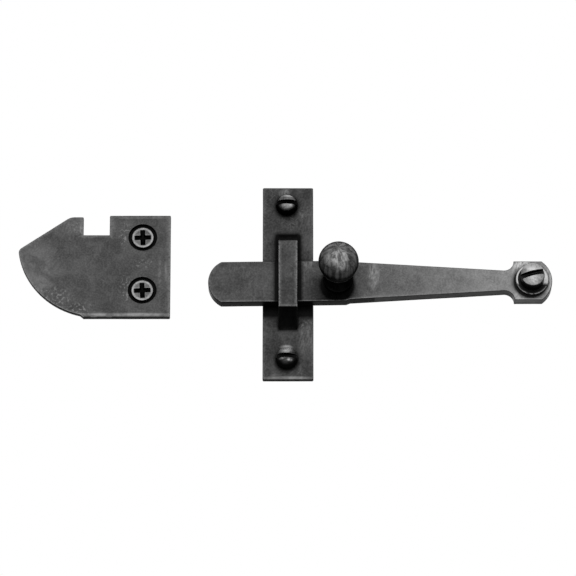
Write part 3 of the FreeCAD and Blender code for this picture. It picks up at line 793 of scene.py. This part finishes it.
def make_screws():
    top, low, eye = (box_mm(node)[2] for node in ("keeper_screw_top", "keeper_screw_bottom", "pivot_screw"))
    # The upper keeper screw's iron is a paler, lit copy with painted highlights below and above its slot.
    painted_ledge_highlights = [
        (top.x - 3.4, top.z - 1.9, 3.0, 1.3, 1.6),  # painted highlight below the slot
        (top.x + 3.4, top.z - 1.9, 3.0, 1.3, 1.6),
        (top.x, top.z + 4.0, 5.0, 2.0, 3.0),  # painted highlight above it
    ]
    upper = iron("screw_iron", dark=0.16, pale=0.40, edge=0.8, rough=0.30, metal=1.0, seed=3.0, scratch=0.3,
                 bands=painted_ledge_highlights, grain=2.6, glance=0.3)
    # The lower keeper screw gets a darker, shaded copy of the screw iron, with painted glints and a painted
    # highlight on its crown.
    glints = [(low.x + 1.5, low.z - 2.4, 2.0, 0.9, 7.0)]
    crown = [(low.x - 0.2, low.z + 4.0, 5.4, 3.4, 12.0), (low.x - 3.0, low.z - 1.6, 2.5, 0.7, 4.5)]
    lower = iron("screw_iron_lower_painted_light", dark=0.04, pale=0.14, edge=0.8, rough=0.30, metal=0.6, seed=3.4,
                 scratch=0.3, streaked_patches=glints, bands=crown, grain=2.6, glance=0.3)
    flat = iron("strike_screw_iron", dark=0.11, pale=0.26, edge=0.52, rough=0.34, metal=0.95, seed=4.0,
                scratch=0.3, grain=0.8)
    # Painted highlight on the pivot screw's head, paler above.
    shine = [(eye.x, eye.z + 4.5, 7.5, 4.5, 4.0), (eye.x - 1.0, eye.z - 2.0, 3.0, 2.0, 0.4)]
    painted_upper_light = [(eye.x + 0.5, eye.z + 4.5, 8.0, 4.0, 1.2)]
    pivot = iron("pivot_screw_iron", dark=0.24, pale=0.56, edge=0.9, rough=0.26, metal=1.0, seed=5.0,
                 scratch=0.6, streaked_patches=shine, bands=painted_upper_light)
    for node, head, rests_on, thread, slot, material, turn in (
        ("keeper_screw_top", dome_head, "keeper_plate", WOOD_THREAD, "screw_iron", upper, 0.0),
        ("keeper_screw_bottom", dome_head, "keeper_plate", WOOD_THREAD, "screw_iron", lower, -2.0),
        ("strike_screw_upper", flat_head, "strike_plate", WOOD_THREAD, "screw_iron", flat, 2.0),
        ("strike_screw_lower", flat_head, "strike_plate", WOOD_THREAD, "screw_iron", flat, 3.0),
        ("pivot_screw", tall_head, "pivot_washer", PIVOT_THREAD, "pivot_screw_iron", pivot, 14.5),
    ):
        make_screw(node, head, rests_on, thread, material, turn)


# -------- the bar and its knob

def pivot_point():
    """Where the bar's hinge is on the front, as (x, z)."""
    middle = box_mm("pivot_washer")[2]
    return middle.x, middle.z


def make_bar():
    low, high, _ = box_mm("latch_bar")
    staple_low, staple_high, _ = box_mm("guide_staple")
    knob = box_mm("knob")[2]
    x, z = pivot_point()
    nose, arm_wide, arm, eye = 11.0, 10.2, 5.5, 10.4  # half heights: straight end, arm's two ends, eye
    nose_radius, eye_radius, drop = 12.5, 13.0, 0.8  # drop: how much lower the nose is at its corners
    corner = low.x + nose_radius - math.sqrt(nose_radius * nose_radius - nose * nose)
    shoulder, step = x - 92.55, x - 90.55  # where the straight end stops and the arm starts
    back, front, hollow = x - 9.05, x + 4.95, eye - arm  # the eye's flats, and the fillet between arm and eye
    loop = outline([
        (front, z - eye, eye_radius), (front, z + eye), (back, z + eye, -hollow),
        (back - hollow, z + arm), (step, z + arm_wide), (shoulder, z + nose),
        (corner, z + nose - drop, nose_radius), (corner, z - nose - drop),
        (shoulder, z - nose), (step, z - arm_wide),
        (back - hollow, z - arm, -hollow), (back, z - eye),
    ])
    bore_radius, tenon_radius = 4.08, 3.5
    holes = [circle_points((x, z), bore_radius), circle_points((knob.x, knob.z), tenon_radius)]
    bm = slab([loop, *holes], -high.y, -low.y, bevel=0.6, to_frame=FACING)
    grid_cut(bm, step=1.4)
    # Painted shadows on the front: beside the staple, around and below the knob's foot, a wide faint one
    # below and left of it, and around the washer.
    paint_shadow_near(bm, [
        (beside_box(staple_low.x, staple_high.x, low.z, high.z), 3.2, 2.0),
        (beside_disc(knob.x - 0.4, knob.z - 2.6, 6.9), 3.0, 1.7),
        (beside_disc(knob.x - 6.0, knob.z - 6.0, 6.0), 9.0, 0.5),
        (beside_disc(x - 0.7, z - 0.8, 7.6), 2.2, 1.4),
    ])
    # Painted shade: a dark rounded front edge, black along the back of the underside and on the undersides,
    # blackest left of the knob.
    paint_shade_on_faces(bm, on_rim, 0.5)
    paint_back_edge_shade(bm, high.y - 0.7, 0.85)
    paint_shade_on_faces(bm, lambda place, normal: normal.z < -0.6, 0.5)
    paint_shade_on_faces(bm, lambda place, normal: normal.z < -0.6 and place.x < knob.x + 18.0, 0.88)
    paint_shade_on_faces(bm, lambda place, normal: normal.z < -0.6 and place.x > back, 0.35)
    paint_shade_on_faces(bm, lambda place, normal: normal.z < -0.3 and normal.y > 0.2, 0.97)
    hammer_facet(bm, low, z + nose - drop, knob.x)
    uneven(bm, depth=0.09, size=11.0, seed=6)
    streaked_patches = [
        (42.5, 1.0, 4.0, 11.0, 3.0),  # right of the knob
        (9.0, 8.0, 7.0, 4.0, 2.2),  # between staple and knob
        (-25.0, 4.0, 12.0, 6.0, 0.5),  # the straight end
        (x - 5.0, z + 8.0, 9.0, 6.0, 8.0),  # painted light on the eye: above, right and below
        (x + 8.0, z + 1.0, 5.0, 9.0, 6.0),
        (x - 7.0, z - 8.5, 4.0, 4.0, 4.0),
    ]
    bands = [
        (x - 2.0, z - eye - 0.2, 14.0, 1.6, 4.0),  # painted highlight along the eye's lower edge
        (50.0, z - arm_wide + 1.0, 40.0, 1.0, 0.8),  # painted highlight along the arm's lower edge
        (x + 9.0, z, 5.0, 12.0, 2.0),  # painted light on the eye's far side
    ]
    # Painted light: the bar grows paler towards its eye along x.
    material = iron("bar_iron", dark=0.062, pale=0.135, edge=0.32, rough=0.34, seed=6.0, scratch=0.7,
                    painted_light_along_x=(25.0, 125.0, 2.6), streaked_patches=streaked_patches, bands=bands)
    piece("latch_bar_forged", bm, "bar", "latch_bar", material)


def hammer_facet(bm, low, top, end):
    """The straight end's upper front edge is dressed to a shallow facet, which fades towards x = end."""
    wide, deep, fading = 3.0, 0.35, 12.0
    for vert in bm.verts:
        rise = vert.co.z - (top - wide)
        if rise > 0 and vert.co.y < low.y + 1.0 and vert.co.x < end:
            fade = min(1.0, (end - vert.co.x) / fading)
            vert.co.y += deep * fade * min(rise / wide, 1.0)


def make_knob():
    """A ball on a neck, with a thin collar behind the ball and a round foot on the bar."""
    low, _, middle = box_mm("knob")
    face = box_mm("latch_bar")[0].y
    ball, rim, neck, foot, tenon = 10.0, 8.6, 6.3, 7.4, 3.5  # radii
    centre = low.y - face + ball
    groove, collar = centre + 5.3, centre + 6.2  # levels behind the ball's centre
    behind = centre + math.sqrt(ball * ball - neck * neck)  # where the ball would meet the neck
    edge = math.sqrt(ball * ball - (groove - centre) ** 2)  # the ball's radius at the groove
    profile = [(0.0, centre - ball)]
    profile += bulge_points((0.0, centre - ball), (edge, groove), ball, 3)[1:]
    profile += [(edge - 0.5, groove + 0.25), (edge - 0.4, groove + 0.5)]
    profile += bulge_points((rim, collar - 0.45), (rim, collar + 0.45), 0.5, 20)
    profile += [(neck, behind)]
    profile += bulge_points((neck, behind), (neck + 0.3, -2.9), -25.0, 3)[1:]
    profile += [(foot - 0.2, -2.6), (foot, -2.3), (foot, -0.25), (foot - 0.15, 0.0)]
    profile += [(tenon, 0.0), (tenon, 5.75), (tenon - 0.3, 6.0), (0.0, 6.0)]
    bm = lathe(profile, 96)
    # Painted shade: black on the neck and in the groove, and on the ball towards the neck and below.
    paint_shade_on_faces(bm, lambda place, _: collar + 0.3 < place.y < -0.1, 0.97)
    paint_shade_on_faces(bm, lambda place, _: groove < place.y < collar - 0.3, 0.97)
    paint_ball_shade(bm, Vector((0.0, centre, 0.0)), start=54.0, end=82.0, amount=0.85)
    uneven(bm, depth=0.05, size=6.0, seed=7)
    heart = (middle.x, face + centre, middle.z)
    x, z = middle.x, middle.z
    # Painted highlights on the ball, beside its painted highlight streaks.
    streaked_patches = [(x + 2.9, z - 1.6, 2.0, 5.0, 0.7), (x - 5.2, z - 3.1, 2.6, 4.5, 0.8)]
    material = iron("knob_iron", dark=0.085, pale=0.45, edge=0.15, rough=0.34, seed=7.0, scratch=0.3,
                    ball=heart, streaked_patches=streaked_patches, grain=1.2, glance=0.0)
    piece("knob_turned", bm, "bar", "knob", material, (middle.x, face, middle.z))


# -------- washer and spacer

def make_ring(node, material, soft):
    """A ring round the pivot with a rounded front edge of radius soft, with painted shade inside it and a
    painted shadow below.
    """
    low, high, middle = box_mm(node)
    radius, hole = (high.x - low.x) / 2, 4.1
    inner = radius - soft - 0.5
    profile = [(hole, low.y + 0.1), (hole + 0.1, low.y), (inner, low.y), (radius - soft, low.y)]
    profile += bulge_points((radius - soft, low.y), (radius, low.y + soft), soft, 30)[1:]
    profile += bulge_points((radius, high.y - 0.2), (radius - 0.2, high.y), 0.2, 45)
    profile += [(hole + 0.1, high.y), (hole, high.y - 0.1), (hole, low.y + 0.1)]
    bm = lathe(profile, 96)
    bmesh.ops.remove_doubles(bm, verts=bm.verts, dist=0.001)
    bmesh.ops.recalc_face_normals(bm, faces=bm.faces)
    # Painted shade: black on the inner face on the left and below, and a painted shadow on the lower part.
    paint_shade_on_faces(bm, lambda place, _: math.hypot(place.x, place.z) < inner
              and (place.x < -1.0 or place.z < -3.0), 0.98)
    paint_shadow_near(bm, [(beside_box(-20.0, 20.0, -20.0, -3.5), 2.0, 1.2)])
    piece(f"{node}_turned", bm, "ironwork", node, material, (middle.x, 0, middle.z))


def make_rings():
    washer = iron("washer_iron", dark=0.62, pale=0.95, edge=1.0, rough=0.32, metal=1.0, seed=8.0, scratch=0.3,
                  painted_shade_amount=0.3)
    make_ring("pivot_washer", washer, soft=0.45)
    spacer = iron("spacer_iron", dark=0.04, pale=0.09, edge=0.3, rough=0.45, seed=9.0)
    make_ring("pivot_spacer", spacer, soft=0.3)


# -------- the strike

def near(point, screw, radius):
    """Whether a point of the plate is within a radius of a screw's axis."""
    return math.hypot(point.x - screw.x, point.z - screw.z) < radius


def recess_tool(middle, front, back):
    """What a screw's recess takes away: a round pocket with an eased rim, a short cone and a hole."""
    pocket, cone, hole = 7.1, 4.3, 3.5  # radii
    floor, throat = front + 1.5, front + 2.3  # levels
    tool = lathe([
        (0.0, front - 1.0), (pocket + 0.5, front - 1.0), (pocket + 0.2, front), (pocket, front + 0.2),
        (pocket, floor), (cone, floor), (hole, throat), (hole, back + 1.0), (0.0, back + 1.0),
    ])
    bmesh.ops.translate(tool, verts=tool.verts, vec=(middle.x, 0, middle.z))
    return tool


def make_strike():
    low, high, _ = box_mm("strike_plate")
    screws = [box_mm(node)[2] for node in ("strike_screw_upper", "strike_screw_lower")]
    right, bottom, top = high.x, low.z, high.z
    notch, far = right - 30.75, right - 43.81  # the notch's two sides
    floor, horn = top - 10.6, top - 0.8  # its floor, and the top of the horn beyond it
    crest, tip = right - 50.49, right - 76.41  # the two ends of the ramp
    ramp_foot = horn - (crest - tip) * math.tan(math.radians(34.5))
    belly = 40.55  # radius of the edge below the ramp
    corners = [
        (right, bottom), (right, top), (notch, top), (notch, floor), (far, floor), (far, horn), (crest, horn),
        (tip, ramp_foot, belly), (right - 45.0, bottom + 1.48), (right - 43.25, bottom),
    ]
    loop = outline(corners)
    loop = round_corner(loop, corners[6][:2], 6.0)
    loop = round_corner(loop, corners[7][:2], 4.0)
    for corner in (corners[0], corners[1], corners[2], corners[5]):
        loop = round_corner(loop, corner, 0.6, 30)
    bm = slab([loop], -high.y, -low.y, bevel=0.4, to_frame=FACING)
    grid_cut(bm, step=1.5)
    mark_wear(bm)
    uneven(bm, depth=0.10, size=13.0, seed=10)
    for vert in bm.verts:
        vert.co.x = max(vert.co.x, low.x + 0.01)
    for screw in screws:
        bm = cut(bm, recess_tool(screw, low.y, high.y))
    # Painted shade: a dark rounded front edge, black undersides and left sides, and black in the screws'
    # recesses.
    paint_shade_on_faces(bm, on_rim, 0.6)
    paint_shade_on_faces(bm, lambda _, normal: normal.z < -0.25 or (normal.x < -0.4 and normal.z < 0.1), 0.85)
    paint_shade_on_faces(bm, lambda place, normal: place.y > low.y + 0.12 and normal.y < 0.5
              and any(near(place, screw, 7.4) for screw in screws))
    streaked_patches = [(-108.0, 30.0, 8.0, 6.0, 0.6), (right - 5.5, 4.0, 1.2, 14.0, 1.2)]
    bands = [
        (-126.0, 6.0, 16.0, 20.0, 1.0),  # the left
        (right - 20.0, bottom + 1.5, 50.0, 1.3, 3.0),  # painted highlight along the bottom edge
        (right - 2.2, 8.0, 1.1, 9.0, 0.9),  # painted highlight along the right edge
        (right - 16.0, top - 1.2, 26.0, 1.0, 1.2),  # painted highlight along the top edge
    ]
    flecks = [
        (-118.0, -8.0, 14.0, 9.0, 2.0), (-104.0, -14.0, 10.0, 5.0, 2.0),  # along the belly
        (-81.5, 26.0, 4.5, 10.0, 1.8), (-81.0, -3.0, 4.5, 11.0, 1.8),  # left of the screws
        (-104.0, 30.0, 9.0, 6.0, 1.3), (-72.0, 10.5, 9.0, 4.0, 1.3),  # the horn; between the screws
    ]
    material = iron("strike_iron", dark=0.067, pale=0.150, edge=0.50, rough=0.36, seed=10.0, scratch=0.35,
                    streaked_patches=streaked_patches, flecks=flecks, bands=bands)
    piece("strike_plate_forged", bm, "ironwork", "strike_plate", material, wear=False)


# -------- stage

def make_floor():
    """A wide pale sheet below the latch, which neither shades it nor shows in it."""
    bm = bmesh.new()
    bmesh.ops.create_grid(bm, x_segments=2, y_segments=2, size=40.0)
    floor = loose_object("floor", mesh_from(bm, "floor"))
    floor.location.z = -FLOOR_DROP
    tree = Tree("floor_paper")
    tone = tree.ramp(tree.noise(tree.place(), 0.00002, 2.0), 0.3, 0.7, 0.86, 0.90)
    color = tree.add("CombineColor", {0: tone, 1: tone, 2: tone}).outputs[0]
    tree.to_shader(Base_Color=color, Roughness=0.9, Emission_Color=(1, 1, 1, 1), Emission_Strength=0.85)
    floor.data.materials.append(tree.material)
    floor.visible_glossy = False
    floor.visible_diffuse = False
    floor.visible_shadow = False


def softbox(name, azimuth, elevation, distance, size, power):
    """A square light that faces the latch. Azimuth 0 is in front of it and 90 to its right."""
    data = bpy.data.lights.new(name, "AREA")
    data.shape = "RECTANGLE"
    data.size, data.size_y = size, size
    data.energy = power
    lamp = loose_object(name, data)
    lamp.visible_camera = False
    a, e = math.radians(azimuth), math.radians(elevation)
    way = Vector((math.sin(a) * math.cos(e), -math.cos(a) * math.cos(e), math.sin(e)))
    lamp.location = way * distance
    lamp.rotation_euler = way.to_track_quat("Z", "Y").to_euler()


def make_world():
    """White to the camera. To the latch it is a dark room with a very soft light in front, a weaker one
    behind and a dim sky."""
    world = bpy.data.worlds.new("studio")
    bpy.context.scene.world = world
    world.use_nodes = True
    nodes, links = world.node_tree.nodes, world.node_tree.links
    nodes.clear()

    def node(kind, *inputs, **settings):
        made = nodes.new(f"ShaderNode{kind}")
        for key, value in settings.items():
            setattr(made, key, value)
        for number, value in enumerate(inputs):
            if isinstance(value, bpy.types.NodeSocket):
                links.new(value, made.inputs[number])
            elif value is not None:
                made.inputs[number].default_value = value
        return made

    def lobe(elevation, strength, narrow):
        """Light that is strongest at an elevation in front, or behind beyond 90 degrees, and fades off."""
        e = math.radians(elevation)
        aim = (0.0, -math.cos(e), math.sin(e))
        facing = node("VectorMath", way, aim, operation="DOT_PRODUCT").outputs["Value"]
        share = node("MapRange", facing, LIGHT_EDGE, 1.0, 0.0, 1.0).outputs[0]
        share = node("Math", share, narrow, operation="POWER").outputs[0]
        return node("Math", share, strength, operation="MULTIPLY").outputs[0]

    way = node("TexCoord").outputs["Generated"]
    front = lobe(SOFT_LIGHT_ELEVATION, SOFT_LIGHT, narrow=2.0)
    back = lobe(FILL_LIGHT_ELEVATION, FILL_LIGHT, narrow=1.0)
    height = node("SeparateXYZ", way).outputs[2]
    sky = node("MapRange", height, 0.0, 0.9, 0.004, SKY_LIGHT, interpolation_type="SMOOTHSTEP").outputs[0]
    both = node("Math", front, back, operation="ADD").outputs[0]
    light = node("Math", both, sky, operation="ADD").outputs[0]
    soft = node("Background", (1, 1, 1, 1), light)
    white = node("Background", (1, 1, 1, 1), 1.0)
    seen = node("LightPath").outputs["Is Camera Ray"]
    mix = node("MixShader", seen, soft.outputs[0], white.outputs[0])
    node("OutputWorld", mix.outputs[0])


def make_camera():
    data = bpy.data.cameras.new("photo_camera")
    data.lens = CAMERA_LENS
    data.sensor_width = CAMERA_SENSOR
    data.clip_start, data.clip_end = 0.1, 100.0
    camera = loose_object("photo_camera", data)
    e = math.radians(PHOTO_ELEVATION)
    back = Vector((0.0, -math.cos(e), math.sin(e)))
    camera.location = Vector((0, 0, -CAMERA_AIM_DROP * MM)) + back * CAMERA_DISTANCE
    camera.rotation_euler = back.to_track_quat("Z", "Y").to_euler()
    bpy.context.scene.camera = camera


def make_stage():
    make_camera()
    make_floor()
    make_world()
    softbox("back_right", 155, elevation=22, distance=1.8, size=1.0, power=1.2)
    softbox("back_left", -155, elevation=22, distance=1.8, size=1.0, power=1.2)
    bpy.context.scene.view_settings.view_transform = "Standard"


make_keeper_plate()
make_staple()
make_screws()
make_bar()
make_knob()
make_rings()
make_strike()
make_stage()
